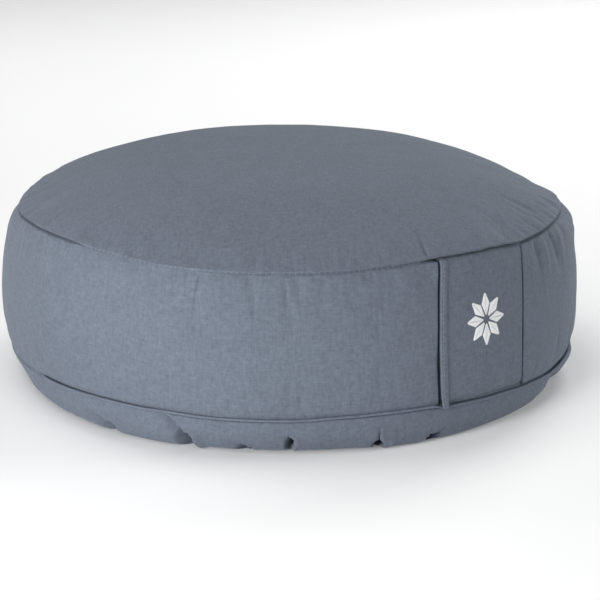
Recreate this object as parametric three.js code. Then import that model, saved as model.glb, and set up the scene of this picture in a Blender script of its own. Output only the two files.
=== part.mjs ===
import * as THREE from 'three';

// A round meditation cushion, filled and standing on a floor, with its front facing -Y.
// Angles are degrees round the cushion, from the front towards +X.

// Seams, crown and floor
const TOP_SEAM = { radius: 192.8, height: 120.4, groove: 1.6, lip: 1.2 };
const LOWER_SEAM = { radius: 201.8, height: 25.3, groove: 2.4, lip: 2.1 };
const GROOVE_INSET = 0.2;
const SUMMIT_HEIGHT = 157.5;
const FLOOR_RADIUS = 184.7;
const SKIRT_ROUNDNESS = 0.8;
const BAND_BULGE = 7.7;
const BAND_ROUNDNESS = 0.7;
const SHOULDER_GAIN = 2;
const PLEAT_START = 0.05;

// Strip rolled into the lower seam
const WELT = { radius: 1.0, sides: 6 };

// Panel that laps over the band's open end, sewn in at its far edge
const PLACKET = { from: 28.9, to: 51.6, thickness: 1.5, hemWidth: 4.9, hemThickness: 2.8 };

// How the panel's two edges bow across the band: degrees at the deepest, the gain towards the seams,
// and the share of the band's height where each is deepest
const EDGE_BOWS = [
  { angle: PLACKET.from, deepest: -0.9, gain: 5.0, share: 0.42 },
  { angle: PLACKET.to, deepest: -1.95, gain: 5.4, share: 0.32 },
];
const BOW_WIDTH_DEG = 9;
const PLACKET_GAP = 0.35;
const PLACKET_EDGE_GAP_DEG = 0.13;
const PLACKET_STEP_DEG = 0.15;
const HEM_INSET = 0.9;
const TOP_GROOVE_SHARE = 0.5;

// How far each seam lies above its mean height, how far the floor edge, the band's middle and the
// band's shoulder stand out, and how square the crown is, round the cushion
const SECTORS = [
  { angle: -180, topRise: 0.0, lowRise: 0.0, floorOut: 0.5, bulge: 0.0, shoulder: 0.5, square: 3.3 },
  { angle: -150, topRise: 0.5, lowRise: 1.0, floorOut: -2.0, bulge: 0.5, shoulder: 0.8, square: 3.5 },
  { angle: -120, topRise: 2.5, lowRise: -0.5, floorOut: -1.0, bulge: 0.0, shoulder: 1.0, square: 3.6 },
  { angle: -95, topRise: -0.5, lowRise: 0.5, floorOut: -8.0, bulge: 0.0, shoulder: 2.2, square: 3.3 },
  { angle: -78, topRise: 0.2, lowRise: 0.8, floorOut: -11.0, bulge: 0.0, shoulder: 1.8, square: 3.2 },
  { angle: -64, topRise: 3.0, lowRise: 0.3, floorOut: -8.0, bulge: 0.0, shoulder: 1.0, square: 3.2 },
  { angle: -50, topRise: 3.8, lowRise: 0.4, floorOut: -3.0, bulge: 0.0, shoulder: 0.4, square: 3.2 },
  { angle: -36, topRise: 2.1, lowRise: 1.0, floorOut: 2.0, bulge: 0.0, shoulder: 0.0, square: 3.2 },
  { angle: -25, topRise: -0.5, lowRise: 0.5, floorOut: 3.0, bulge: 0.0, shoulder: 0.0, square: 3.2 },
  { angle: -13, topRise: -1.5, lowRise: -0.4, floorOut: -1.5, bulge: 0.0, shoulder: 0.0, square: 3.2 },
  { angle: 0, topRise: -1.6, lowRise: -0.3, floorOut: -3.0, bulge: 0.0, shoulder: 0.0, square: 3.2 },
  { angle: 10, topRise: -1.6, lowRise: 1.1, floorOut: -2.0, bulge: 0.0, shoulder: 0.0, square: 3.2 },
  { angle: 20, topRise: 0.8, lowRise: 1.5, floorOut: 5.0, bulge: -0.8, shoulder: 0.0, square: 3.2 },
  { angle: 30, topRise: 2.0, lowRise: 1.0, floorOut: 4.5, bulge: -1.8, shoulder: 0.0, square: 3.1 },
  { angle: 43, topRise: 2.2, lowRise: -0.2, floorOut: 2.0, bulge: -3.2, shoulder: 0.3, square: 3.1 },
  { angle: 52, topRise: 0.5, lowRise: -1.7, floorOut: 1.0, bulge: -3.4, shoulder: 0.8, square: 3.1 },
  { angle: 62, topRise: -0.8, lowRise: -3.1, floorOut: 2.0, bulge: -2.4, shoulder: 1.6, square: 3.0 },
  { angle: 74, topRise: -0.2, lowRise: -3.6, floorOut: 3.5, bulge: -1.4, shoulder: 2.8, square: 3.1 },
  { angle: 90, topRise: -1.0, lowRise: -2.4, floorOut: 4.0, bulge: -1.4, shoulder: 3.6, square: 3.3 },
  { angle: 106, topRise: -5.0, lowRise: -1.2, floorOut: 1.0, bulge: 0.0, shoulder: 2.8, square: 3.9 },
  { angle: 124, topRise: -4.6, lowRise: -0.8, floorOut: -1.0, bulge: 0.0, shoulder: 1.4, square: 3.8 },
  { angle: 150, topRise: -0.6, lowRise: 0.8, floorOut: 1.5, bulge: 0.0, shoulder: 0.6, square: 3.3 },
  { angle: 180, topRise: 0.0, lowRise: 0.0, floorOut: 0.5, bulge: 0.0, shoulder: 0.5, square: 3.3 },
];

// Folds of the bottom panel where it turns up from the floor: width and lean in degrees, depth in mm,
// and how far up to the seam each one reaches
const SKIRT_FOLDS = [
  { angle: -35.4, width: 2.0, depth: 3.0, lean: -11.0, reach: 0.7 },
  { angle: -20.4, width: 1.6, depth: 8.5, lean: -2.6, reach: 1.0 },
  { angle: -6.2, width: 1.5, depth: 2.6, lean: -9.0, reach: 0.45 },
  { angle: 0.6, width: 1.2, depth: 4.2, lean: -0.6, reach: 0.85 },
  { angle: 15.9, width: 1.2, depth: 4.8, lean: 0.8, reach: 0.5 },
  { angle: 29.0, width: 2.4, depth: 5.5, lean: -0.8, reach: 0.5 },
  { angle: 61.0, width: 2.4, depth: 6.5, lean: 3.0, reach: 0.85 },
  { angle: 96, width: 2.2, depth: 3.4, lean: -1.5, reach: 0.7 },
  { angle: 121, width: 1.8, depth: 4.6, lean: 3.2, reach: 0.9 },
  { angle: 152, width: 2.4, depth: 2.6, lean: 0.0, reach: 0.6 },
  { angle: -168, width: 1.6, depth: 5.2, lean: -3.5, reach: 0.95 },
  { angle: -139, width: 2.2, depth: 2.8, lean: 1.2, reach: 0.6 },
  { angle: -112, width: 1.8, depth: 4.2, lean: -2.4, reach: 0.85 },
  { angle: -72, width: 2.2, depth: 1.8, lean: 1.0, reach: 0.5 },
];

// Pleats of the band below the top seam: width in degrees, depth in mm, reach down the band
const BAND_PLEATS = [
  { angle: 57.3, width: 1.4, depth: 2.0, reach: 0.32 },
  { angle: 65.3, width: 1.5, depth: 1.6, reach: 0.28 },
  { angle: 71, width: 1.6, depth: 1.0, reach: 0.26 },
  { angle: 86, width: 2.0, depth: 1.2, reach: 0.28 },
  { angle: 131, width: 2.0, depth: 1.6, reach: 0.35 },
  { angle: -157, width: 2.2, depth: 1.4, reach: 0.3 },
  { angle: -104, width: 2.0, depth: 1.5, reach: 0.34 },
];

// Rows of the surface: turn of the skirt from the floor, share of the band's height, share of the crown
const SKIRT_TURNS_DEG = [90, 76, 60, 40, 18];
const BAND_SHARES = [0, 0.05, 0.14, 0.3, 0.5, 0.7, 0.86, 0.95, 1];
const CROWN_SHARES = [1, 0.96, 0.9, 0.82, 0.7, 0.54, 0.36, 0.18];
const COLUMN_STEP_DEG = 4;
const CLOSEST_COLUMNS_DEG = 1.2;

const CLOTH = { color: 0x70778a, roughness: 0.92, metalness: 0 };

const radians = THREE.MathUtils.degToRad;
const lerp = THREE.MathUtils.lerp;

function around(radius, degrees, height) {
  const turn = radians(degrees);
  return new THREE.Vector3(radius * Math.sin(turn), -radius * Math.cos(turn), height);
}

function sectorAt(degrees) {
  const next = SECTORS.findIndex((sector, i) => i > 0 && degrees <= sector.angle);
  const before = SECTORS[next - 1];
  const after = SECTORS[next];
  const share = (degrees - before.angle) / (after.angle - before.angle);
  const ease = share * share * (3 - 2 * share);
  const blend = (column) => lerp(before[column], after[column], ease);
  return {
    topHeight: TOP_SEAM.height + blend('topRise'),
    lowHeight: LOWER_SEAM.height + blend('lowRise'),
    floorRadius: FLOOR_RADIUS + blend('floorOut'),
    bulge: BAND_BULGE + blend('bulge'),
    shoulder: blend('shoulder'),
    square: blend('square'),
  };
}

function degreesBetween(a, b) {
  return THREE.MathUtils.euclideanModulo(a - b + 180, 360) - 180;
}

function trough(degrees, centre, width, depth) {
  const away = degreesBetween(degrees, centre) / width;
  return depth * Math.exp(-away * away);
}

// The placket's edges bow across the band, and the cloth beside them with them
function bowed(degrees, share) {
  return EDGE_BOWS.reduce((sum, bow) => {
    const shift = bow.deepest + bow.gain * (share - bow.share) ** 2;
    return sum + trough(degrees, bow.angle, BOW_WIDTH_DEG, shift);
  }, degrees);
}

function skirtPoint(degrees, sector, turnDegrees) {
  const turn = radians(turnDegrees);
  const rimRadius = LOWER_SEAM.radius - GROOVE_INSET;
  const rimHeight = sector.lowHeight - LOWER_SEAM.lip;
  const up = 1 - Math.sin(turn);
  const recess = SKIRT_FOLDS.reduce((sum, fold) => {
    const fade = Math.max(0, 1 - up / fold.reach);
    return sum + trough(degrees, fold.angle + fold.lean * up, fold.width, fold.depth * fade);
  }, 0);
  const radius = lerp(sector.floorRadius, rimRadius, Math.cos(turn) ** SKIRT_ROUNDNESS);
  return around(radius - recess, degrees, rimHeight * up);
}

function isUnderPlacket(degrees) {
  return degrees >= PLACKET.from && degrees <= PLACKET.to;
}

function placketInset(degrees) {
  const share = (degrees - PLACKET.from) / (PLACKET.to - PLACKET.from);
  return lerp(HEM_INSET, PLACKET.thickness + PLACKET_GAP, share);
}

function bandPoint(degrees, sector, share, outwards) {
  const height = lerp(sector.lowHeight + LOWER_SEAM.lip, sector.topHeight - TOP_SEAM.lip, share);
  const cone = lerp(LOWER_SEAM.radius, TOP_SEAM.radius, share) - GROOVE_INSET;
  const swell = sector.bulge * Math.sin(Math.PI * share) ** BAND_ROUNDNESS;
  const shoulder = SHOULDER_GAIN * sector.shoulder * Math.sin(Math.PI * share) * share * share;
  const recess = BAND_PLEATS.reduce((sum, pleat) => {
    const below = 1 - share;
    const fade = Math.max(0, 1 - below / pleat.reach) * Math.min(1, below / PLEAT_START);
    return sum + trough(degrees, pleat.angle, pleat.width, pleat.depth * fade);
  }, 0);
  return around(cone + swell + shoulder - recess + outwards, bowed(degrees, share), height);
}

function crownPoint(degrees, sector, share) {
  const edge = sector.topHeight + TOP_SEAM.lip;
  const height = lerp(SUMMIT_HEIGHT, edge, share ** sector.square);
  return around((TOP_SEAM.radius - GROOVE_INSET) * share, degrees, height);
}

// The filled cushion's surface at one angle, from the floor edge up to the crown
function profile(degrees) {
  const sector = sectorAt(degrees);
  const inset = isUnderPlacket(degrees) ? placketInset(degrees) : 0;
  const topGroove = TOP_SEAM.groove + inset * TOP_GROOVE_SHARE;
  return [
    ...SKIRT_TURNS_DEG.map((turn) => skirtPoint(degrees, sector, turn)),
    around(LOWER_SEAM.radius - LOWER_SEAM.groove, degrees, sector.lowHeight),
    ...BAND_SHARES.map((share) => bandPoint(degrees, sector, share, -inset)),
    around(TOP_SEAM.radius - topGroove, degrees, sector.topHeight),
    ...CROWN_SHARES.map((share) => crownPoint(degrees, sector, share)),
  ];
}

// Angles of the surface's columns: at the placket's edges, on each fold and pleat, and evenly between
function columnAngles() {
  const edges = [
    PLACKET.from - PLACKET_STEP_DEG, PLACKET.from, PLACKET.to, PLACKET.to + PLACKET_STEP_DEG,
  ];
  const angles = [...edges];
  const addApart = (angle, apart) => {
    const wrapped = degreesBetween(angle, 0);
    if (angles.every((other) => Math.abs(degreesBetween(wrapped, other)) > apart)) {
      angles.push(wrapped);
    }
  };
  for (const side of [0, -1, 1]) {
    for (const { angle, width } of [...SKIRT_FOLDS, ...BAND_PLEATS]) {
      addApart(angle + side * width, CLOSEST_COLUMNS_DEG / 2);
    }
  }
  for (let angle = -180; angle < 180; angle += COLUMN_STEP_DEG) {
    addApart(angle, CLOSEST_COLUMNS_DEG);
  }
  return angles.sort((a, b) => a - b);
}

function geometryFrom(points, triangles) {
  const geometry = new THREE.BufferGeometry().setFromPoints(points);
  geometry.setIndex(triangles);
  geometry.computeVertexNormals();
  return geometry;
}

// Two triangles for each cell between rings of points, the upper ring after the lower one
function cellsBetween(lower, upper, count, closed) {
  const triangles = [];
  for (let i = 0; i < (closed ? count : count - 1); i += 1) {
    const next = (i + 1) % count;
    triangles.push(lower + i, lower + next, upper + next);
    triangles.push(lower + i, upper + next, upper + i);
  }
  return triangles;
}

function filledCushion(angles) {
  const profiles = angles.map(profile);
  const rows = profiles[0].length;
  const count = angles.length;
  const points = [];
  const triangles = [];
  for (let row = 0; row < rows; row += 1) {
    points.push(...profiles.map((line) => line[row]));
    if (row > 0) {
      triangles.push(...cellsBetween((row - 1) * count, row * count, count, true));
    }
  }
  const floorCentre = points.push(new THREE.Vector3(0, 0, 0)) - 1;
  const summit = points.push(new THREE.Vector3(0, 0, SUMMIT_HEIGHT)) - 1;
  const lastRing = (rows - 1) * count;
  for (let i = 0; i < count; i += 1) {
    const next = (i + 1) % count;
    triangles.push(floorCentre, next, i);
    triangles.push(summit, lastRing + i, lastRing + next);
  }
  return geometryFrom(points, triangles);
}

function lowerSeamWelt(angles) {
  const count = angles.length;
  const points = [];
  const triangles = [];
  for (let side = 0; side < WELT.sides; side += 1) {
    const turn = (2 * Math.PI * side) / WELT.sides;
    for (const angle of angles) {
      const height = sectorAt(angle).lowHeight + WELT.radius * Math.sin(turn);
      points.push(around(LOWER_SEAM.radius + WELT.radius * Math.cos(turn), angle, height));
    }
    const nextSide = (side + 1) % WELT.sides;
    triangles.push(...cellsBetween(side * count, nextSide * count, count, true));
  }
  return geometryFrom(points, triangles);
}

function placketThickness(degrees) {
  const alongBand = radians(degrees - PLACKET.from) * LOWER_SEAM.radius;
  return alongBand < PLACKET.hemWidth ? PLACKET.hemThickness : PLACKET.thickness;
}

// The panel's columns, with two close together where its folded hem ends
function placketAngles(angles) {
  const hemEnd = PLACKET.from + THREE.MathUtils.radToDeg(PLACKET.hemWidth / LOWER_SEAM.radius);
  const from = PLACKET.from + PLACKET_EDGE_GAP_DEG;
  const to = PLACKET.to - PLACKET_EDGE_GAP_DEG;
  const apart = (angle) => Math.abs(angle - hemEnd) > CLOSEST_COLUMNS_DEG / 2;
  const between = angles.filter((angle) => angle > from && angle < to && apart(angle));
  const step = PLACKET_STEP_DEG / 2;
  return [from, ...between, hemEnd - step, hemEnd + step, to].sort((a, b) => a - b);
}

function placketPanel(allAngles) {
  const angles = placketAngles(allAngles);
  const count = angles.length;
  const points = [];
  const triangles = [];
  const addRow = (share, side) => {
    for (const angle of angles) {
      const inner = PLACKET_GAP - placketInset(angle);
      const outwards = side === 'outer' ? inner + placketThickness(angle) : inner;
      points.push(bandPoint(angle, sectorAt(angle), share, outwards));
    }
  };
  BAND_SHARES.forEach((share) => addRow(share, 'outer'));
  [...BAND_SHARES].reverse().forEach((share) => addRow(share, 'inner'));
  const rings = 2 * BAND_SHARES.length;
  for (let ring = 0; ring < rings; ring += 1) {
    triangles.push(...cellsBetween(ring * count, ((ring + 1) % rings) * count, count, false));
  }
  for (let row = 0; row < BAND_SHARES.length - 1; row += 1) {
    const outerLow = row * count;
    const outerHigh = (row + 1) * count;
    const innerLow = (rings - 1 - row) * count;
    const innerHigh = (rings - 2 - row) * count;
    const last = count - 1;
    triangles.push(outerLow, outerHigh, innerHigh, outerLow, innerHigh, innerLow);
    triangles.push(outerLow + last, innerHigh + last, outerHigh + last);
    triangles.push(outerLow + last, innerLow + last, innerHigh + last);
  }
  return geometryFrom(points, triangles);
}

function piece(name, geometry) {
  const mesh = new THREE.Mesh(geometry, new THREE.MeshStandardMaterial(CLOTH));
  mesh.name = name;
  return mesh;
}

const angles = columnAngles();
const cushion = new THREE.Group();
cushion.add(piece('filled_cushion', filledCushion(angles)));
cushion.add(piece('lower_seam_welt', lowerSeamWelt(angles)));
cushion.add(piece('placket_panel', placketPanel(angles)));

export default cushion;
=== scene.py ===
"""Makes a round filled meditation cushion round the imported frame.

It has a padded cover with its folds and puckers, a rolled strip in the lower seam, a lapped
placket with topstitching and an embroidered star, and a studio stage. Sizes in the tables are in
mm and degrees; Blender's own are in metres.
"""

import bisect
import math
import random

import bpy
from bpy.props import FloatProperty, FloatVectorProperty, PointerProperty
from mathutils import Matrix, Vector, noise


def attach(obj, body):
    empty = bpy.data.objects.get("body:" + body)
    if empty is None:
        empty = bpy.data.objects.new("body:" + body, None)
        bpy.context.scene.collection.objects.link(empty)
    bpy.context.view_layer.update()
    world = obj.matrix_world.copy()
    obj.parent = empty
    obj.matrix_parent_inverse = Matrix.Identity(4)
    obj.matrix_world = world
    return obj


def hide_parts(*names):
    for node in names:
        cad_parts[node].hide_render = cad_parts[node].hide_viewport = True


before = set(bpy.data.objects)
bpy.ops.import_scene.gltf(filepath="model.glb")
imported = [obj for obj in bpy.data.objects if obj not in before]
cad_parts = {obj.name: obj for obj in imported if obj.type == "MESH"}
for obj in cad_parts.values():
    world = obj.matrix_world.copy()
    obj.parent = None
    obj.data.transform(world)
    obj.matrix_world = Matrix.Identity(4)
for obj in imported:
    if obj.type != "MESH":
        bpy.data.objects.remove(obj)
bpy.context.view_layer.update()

bl_info = {
    "name": "Meditation Cushion",
    "version": (1, 0, 0),
    "blender": (4, 5, 0),
    "location": "View3D > Sidebar > Cushion",
    "description": "Makes a round filled cushion with a lapped placket, and a stage for it",
    "category": "Object",
}

MM = 0.001
SEED = 7

# Seams, crown and floor, in mm. Angles are degrees round the cushion, from the front towards +X.
TOP_RADIUS, TOP_HEIGHT, TOP_LIP = 192.8, 120.4, 1.2
LOW_RADIUS, LOW_HEIGHT, LOW_LIP = 201.8, 25.3, 2.1
SEAM_INSET = 0.2
SUMMIT_HEIGHT = 157.5
FLOOR_RADIUS = 184.7
SKIRT_ROUNDNESS = 0.8
BAND_BULGE, BAND_ROUNDNESS = 7.7, 0.7
HEM_EDGE, SEWN_EDGE = 28.9, 51.6
HEM_INSET, SEWN_INSET = 0.9, 1.85
FLAT_BASE_RADIUS, BASE_LEVEL = 178, 0.4

# How the placket's edges bow across the band: degrees at the deepest, the gain towards the seams,
# and the share of the band's height where each is deepest
EDGE_BOWS = ((HEM_EDGE, -0.9, 5.0, 0.42), (SEWN_EDGE, -1.95, 5.4, 0.32))
BOW_WIDTH = 9.0

# Angle, then how far each seam lies above its mean height, how far the floor edge, the band's
# middle and its shoulder stand out, and how square the crown is
SECTORS = (
    (-180, 0.0, 0.0, 0.5, 0.0, 0.5, 3.3),
    (-150, 0.5, 1.0, -2.0, 0.5, 0.8, 3.5),
    (-120, 2.2, -0.5, -1.0, 0.0, 1.0, 3.0),
    (-95, -1.0, 0.5, -8.0, 0.0, 2.2, 2.85),
    (-78, 0.2, 0.8, -10.0, 0.0, 1.8, 3.1),
    (-64, 3.0, 0.3, -6.4, 0.0, 1.0, 3.2),
    (-50, 3.8, 0.4, -2.4, 0.0, 0.4, 3.2),
    (-36, 2.1, 1.0, 2.0, 0.0, 0.0, 3.2),
    (-25, -0.5, 0.5, 3.0, 0.0, 0.0, 3.2),
    (-13, -0.9, -0.4, -1.5, 0.0, 0.0, 3.2),
    (0, -0.5, -0.3, -3.0, 0.0, 0.0, 3.2),
    (10, -0.4, 1.1, -2.0, 0.0, 0.0, 3.2),
    (20, 0.8, 1.5, 5.0, -0.8, 0.0, 3.2),
    (30, 2.0, 1.0, 4.5, -1.8, 0.0, 3.1),
    (43, 1.2, -0.2, 2.0, -3.2, 0.3, 3.1),
    (52, -1.0, -1.7, 1.0, -3.4, 0.8, 3.1),
    (62, -0.8, -3.1, 2.0, -2.4, 1.6, 3.0),
    (74, -0.2, -3.6, 3.5, -1.4, 2.8, 3.1),
    (90, -1.6, -2.4, 4.0, -1.4, 3.6, 2.8),
    (106, -5.6, -1.2, 1.0, 0.0, 2.8, 2.95),
    (124, -4.8, -0.8, -1.0, 0.0, 1.4, 3.3),
    (150, -0.6, 0.8, 1.5, 0.0, 0.6, 3.3),
    (180, 0.0, 0.0, 0.5, 0.0, 0.5, 3.3),
)

# Wide folds of the bottom panel where it turns up: angle, width, depth, lean, reach up to the seam
SKIRT_FOLDS = (
    (-36.0, 1.7, 6.0, -9.0, 0.65),
    (-19.4, 1.5, 4.0, -3.4, 1.0),
    (-6.2, 1.5, 1.2, -9.0, 0.45),
    (0.4, 1.3, 1.6, -0.6, 0.7),
    (16.6, 1.4, 1.6, 0.6, 0.4),
    (28.5, 2.2, 1.2, 1.5, 0.5),
    (66.0, 1.8, 3.6, 2.5, 0.7),
    (67.5, 6.0, 14.0, 2.0, 0.9),
    (96.0, 2.2, 3.4, -1.5, 0.7),
    (121.0, 1.8, 4.6, 3.2, 0.9),
    (152.0, 2.4, 2.6, 0.0, 0.6),
    (-168.0, 1.6, 5.2, -3.5, 0.95),
    (-139.0, 2.2, 2.8, 1.2, 0.6),
    (-112.0, 1.8, 4.2, -2.4, 0.85),
    (-72.0, 2.2, 1.8, 1.0, 0.5),
)

# Hollows where folds of the bottom panel tuck in: angle, height, half width in degrees, half
# height, depth, and how far each runs to the right as it goes in
SKIRT_HOLLOWS = (
    (-37.2, 6.0, 2.0, 4.6, 10.0, 5.0),
    (-20.0, 7.0, 2.0, 6.4, 40.0, 20.0),
    (-8.8, 3.0, 1.7, 2.8, 12.0, 5.0),
    (0.0, 7.6, 1.1, 4.8, 14.0, 4.0),
    (16.9, 3.4, 1.3, 3.4, 18.0, 6.0),
    (28.8, 3.8, 2.1, 3.4, 12.0, -5.0),
    (64.8, 12.0, 2.6, 6.5, 12.0, -5.0),
)

# Where the bottom panel stands out as it turns up: angle, width, how far out, share of the way up
SKIRT_LOBES = ((80.0, 7.0, 2.6, 0.85), (-70.0, 12.0, -3.6, 0.55))

# Where the band stands out: angle, width, share of the band's height, reach of that share, how far
BAND_SWELLS = (
    (-95.0, 22.0, 0.9, 0.1, 2.4),
    (-95.0, 22.0, 0.74, 0.12, -0.9),
    (-90.0, 20.0, 0.28, 0.12, 0.8),
    (88.0, 20.0, 0.9, 0.09, 3.8),
    (88.0, 20.0, 0.7, 0.12, -0.9),
    (88.0, 22.0, 0.2, 0.12, 2.2),
)

# Wide pleats of the band below the top seam: angle, width, depth, reach down the band
BAND_PLEATS = (
    (57.3, 1.4, 1.4, 0.32),
    (65.3, 1.5, 1.1, 0.28),
    (71.0, 1.6, 0.7, 0.26),
    (86.0, 2.0, 1.2, 0.28),
    (131.0, 2.0, 1.6, 0.35),
    (-157.0, 2.2, 1.4, 0.3),
    (-104.0, 2.0, 1.5, 0.34),
)

# Rows of the mesh: share of the base, turn of the skirt, height about each seam, share of the band
# and share of the crown
BASE_ROWS = (0.08, 0.6, 0.93)
SKIRT_ROWS = (90, 82, 72, 61, 50, 39, 29, 20, 12, 5, 0)
LOW_SEAM_ROWS = (-1.5, -0.8, 0.0, 0.8, 1.5)
BAND_ROWS = (
    0, 0.02, 0.05, 0.09, 0.14, 0.21, 0.3, 0.4, 0.5, 0.6, 0.69, 0.77, 0.84, 0.89, 0.93, 0.96,
    0.985, 1,
)
TOP_SEAM_ROWS = (-0.6, 0.0, 0.6)
CROWN_ROWS = (1, 0.992, 0.978, 0.958, 0.93, 0.895, 0.85, 0.79, 0.71, 0.59, 0.4, 0.06)
COLUMNS = 470
COLUMN_STEP = 0.05

# Where columns stand closer: angle, half width in degrees, how many times closer
CLOSER_COLUMNS = (
    (0.0, 80.0, 0.95),
    (HEM_EDGE, 1.0, 2.6),
    (SEWN_EDGE, 1.2, 2.2),
    (-36.5, 2.2, 1.6),
    (-19.4, 3.0, 4.0),
    (-7.5, 1.8, 1.6),
    (0.6, 1.5, 3.4),
    (16.2, 1.5, 3.0),
    (66.5, 2.8, 2.0),
)

# The top seam's gap round the cushion: angle, depth and half width in mm
TOP_GAPS = (
    (-180, 1.6, 1.1), (-92, 2.2, 1.1), (-75, 4.6, 1.1), (-50, 4.6, 1.1), (-43, 0.9, 0.8),
    (-18, 0.7, 0.8), (-10, 1.1, 1.0), (8, 1.5, 1.1), (12, 1.3, 1.0), (25, 2.2, 1.2),
    (29, 7.5, 1.4), (38, 9.0, 1.5), (47, 9.0, 1.5), (54, 4.6, 1.2), (65, 3.4, 1.1),
    (75, 2.2, 1.1), (90, 1.7, 1.1),
    (180, 1.6, 1.1),
)

# The lower seam's gap: angle, its middle above the seam, half width and depth, then how far the
# strip in it lies above the seam and stands out
LOW_GAPS = (
    (-180, 0.0, 1.6, 2.6, 0.0, 0.2), (-92, 0.0, 1.6, 2.6, 0.0, 0.2),
    (-84, -0.1, 1.1, 2.8, 0.0, -1.0), (-58, -0.1, 1.1, 2.8, 0.0, -1.0),
    (-52, 0.0, 1.5, 2.2, 0.0, 0.7), (-30, 0.1, 1.4, 2.0, 0.2, 0.7),
    (-22, 0.2, 1.15, 2.2, 0.95, 0.9), (27, 0.2, 1.15, 2.2, 0.95, 0.9),
    (30, -0.5, 1.6, 3.0, -1.15, 0.5), (84, -0.5, 1.6, 3.0, -1.15, 0.5),
    (94, 0.0, 1.6, 2.6, 0.0, 0.2), (180, 0.0, 1.6, 2.6, 0.0, 0.2),
)

# Small puckers beside the top seam: angle, depth of each stitch's dent, depth of the longer ones
TOP_PUCKERS = (
    (-180, 0.14, 0.5), (-90, 0.1, 0.35), (-45, 0.06, 0.3), (-20, 0.05, 0.18), (5, 0.1, 0.15),
    (12, 0.34, 0.4), (27, 0.36, 0.55), (32, 0.22, 0.5), (50, 0.12, 0.4), (60, 0.16, 0.7),
    (75, 0.2, 0.7), (90, 0.16, 0.5), (180, 0.14, 0.5),
)

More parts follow.
